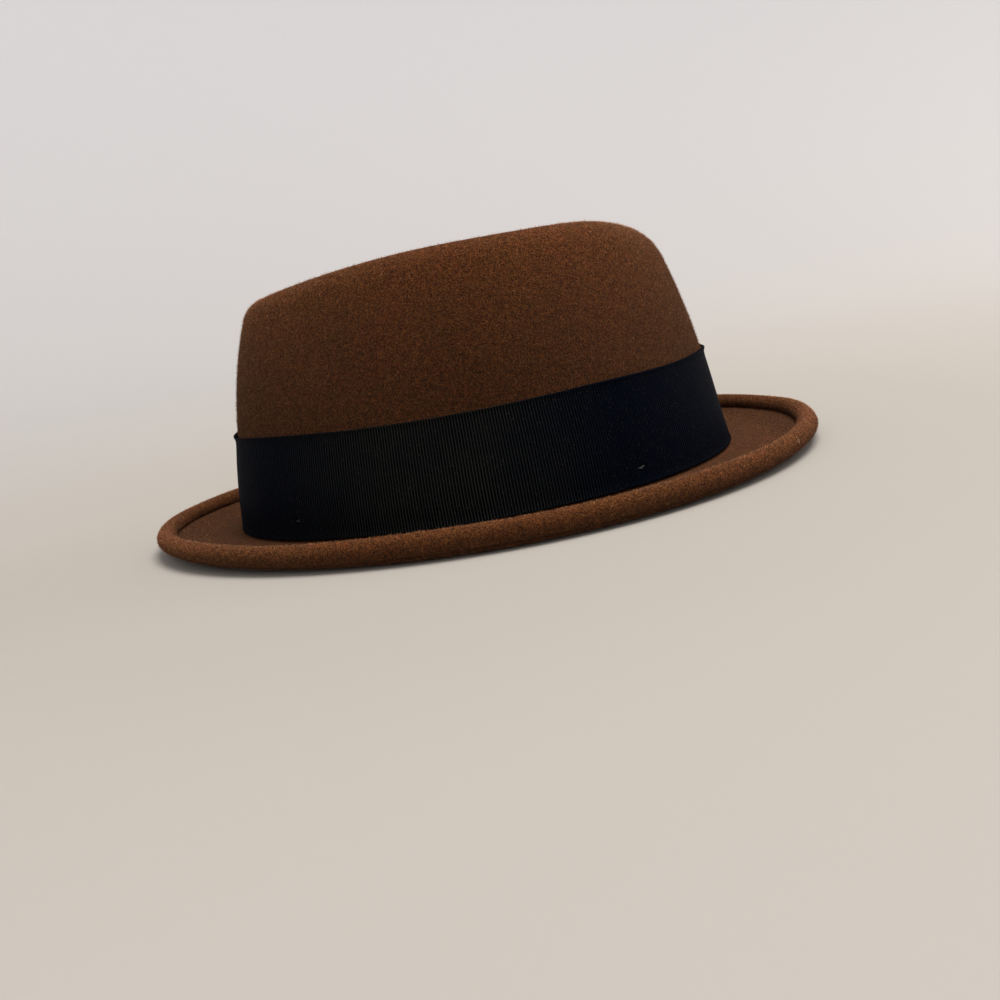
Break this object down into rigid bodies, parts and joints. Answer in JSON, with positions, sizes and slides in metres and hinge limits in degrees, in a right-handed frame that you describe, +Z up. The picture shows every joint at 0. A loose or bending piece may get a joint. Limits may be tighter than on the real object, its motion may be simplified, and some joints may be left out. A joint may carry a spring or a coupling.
{
  "type": "porkpie hat",
  "caption": "Felt porkpie hat with an oval telescope crown, a flat ribbon band and a narrow brim with a pencil-rolled edge.",
  "frame": {"origin": "on the surface that the hat rests on, below the middle of the brim's outline", "axes": "-Y to the front of the hat, -X to the wearer's right, +Z up through the crown"},
  "size_m": [0.2466, 0.2736, 0.0986],
  "materials": {
    "felt": "matt brushed felt with a short nap",
    "grosgrain": "black ribbed grosgrain with a faint sheen"
  },
  "bodies": {
    "root": {"felt_body": "felt", "ribbon_band": "grosgrain"}
  },
  "joints": []
}
